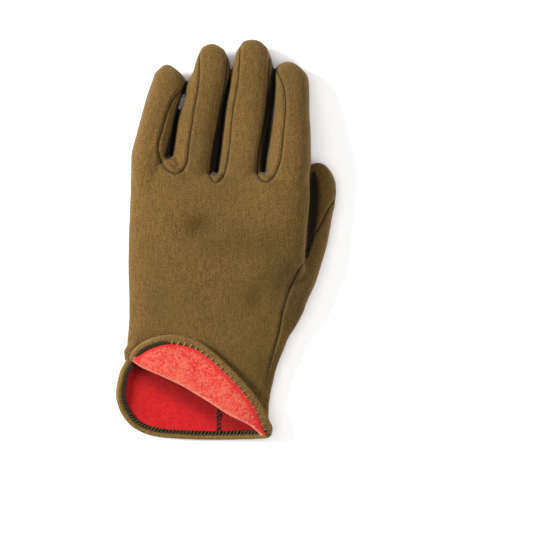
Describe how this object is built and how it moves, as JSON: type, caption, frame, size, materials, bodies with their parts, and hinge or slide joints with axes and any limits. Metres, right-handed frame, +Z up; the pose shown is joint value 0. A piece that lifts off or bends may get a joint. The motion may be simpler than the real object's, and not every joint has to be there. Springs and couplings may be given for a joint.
{
  "type": "cotton work glove",
  "caption": "Left-hand cotton jersey work glove lined with red fleece, lying palm down with the back of its cuff folded over the hand.",
  "frame": {"origin": "under the middle of the glove's box, on the surface that it lies on", "axes": "+Y towards the fingertips, +X towards the thumb, +Z up out of the back of the hand"},
  "size_m": [0.1396, 0.254, 0.0317],
  "materials": {
    "jersey": "brown cotton jersey, fine vertical wales, short nap",
    "fleece": "red cotton fleece, napped side out",
    "hem": "brown jersey edge band, overlocked along its inner side"
  },
  "bodies": {
    "root": {"back_panel": "jersey", "palm_panel": "jersey", "thumb_panel": "jersey", "thumb_back": "jersey", "palm_lining": "fleece", "back_lining": "fleece", "cuff_hem": "hem"}
  },
  "joints": []
}
